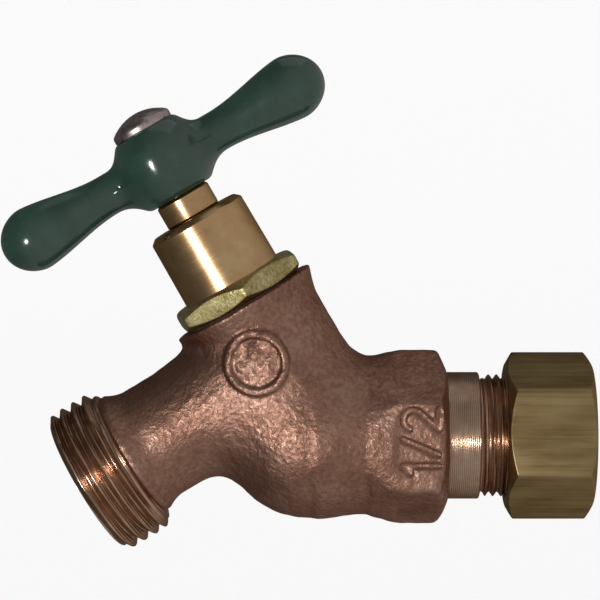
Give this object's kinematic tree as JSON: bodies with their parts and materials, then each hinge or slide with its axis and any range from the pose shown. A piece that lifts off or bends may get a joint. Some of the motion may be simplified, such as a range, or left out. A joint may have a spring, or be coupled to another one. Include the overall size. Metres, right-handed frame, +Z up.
{
  "type": "hose bib",
  "caption": "Cast bronze garden tap with an angled bonnet, tee handle, male hose thread and compression inlet.",
  "frame": {"origin": "on the inlet axis, at the outer end face of the compression nut", "axes": "+X out of the inlet toward the supply tube, +Z up, -Y toward the side with the cast medallion"},
  "size_m": [0.1017, 0.0282, 0.0852],
  "materials": {
    "cast_bronze": "sand-cast, satin",
    "raw_brass": "turned",
    "drawn_brass": "drawn bar, dulled",
    "nickel_steel": "nickel plated",
    "green_enamel": "gloss",
    "black_rubber": "matte",
    "red_fibre": "matte fibre"
  },
  "bodies": {
    "tap_body": {"valve_body": "cast_bronze", "bonnet": "raw_brass", "bonnet_gasket": "red_fibre"},
    "washer": {"seat_washer": "black_rubber"},
    "spindle": {"stem": "raw_brass", "stem_oring_lower": "black_rubber", "stem_oring_upper": "black_rubber", "washer_screw": "raw_brass", "handle": "green_enamel", "handle_screw": "nickel_steel"},
    "ferrule": {"compression_ferrule": "raw_brass"},
    "nut": {"compression_nut": "drawn_brass"}
  },
  "joints": [
    {"name": "stem_lift", "type": "slide", "parent": "tap_body", "child": "washer", "axis": [-0.5, 0, 0.866], "range_m": [0, 0.0055]},
    {"name": "handle_turn", "type": "hinge", "parent": "washer", "child": "spindle", "pos_m": [-0.0466, 0, 0], "axis": [-0.5, 0, 0.866], "range_deg": [0, 900]},
    {"name": "nut_travel", "type": "slide", "parent": "tap_body", "child": "ferrule", "axis": [1, 0, 0], "range_m": [0, 0.00706]},
    {"name": "nut_turn", "type": "hinge", "parent": "ferrule", "child": "nut", "pos_m": [0, 0, 0], "axis": [1, 0, 0], "range_deg": [0, 1800]}
  ],
  "couplings": [
    {"joint": "stem_lift", "follows": "handle_turn", "m_per_rad": 0.00035},
    {"joint": "nut_travel", "follows": "nut_turn", "m_per_rad": 0.00022457}
  ]
}
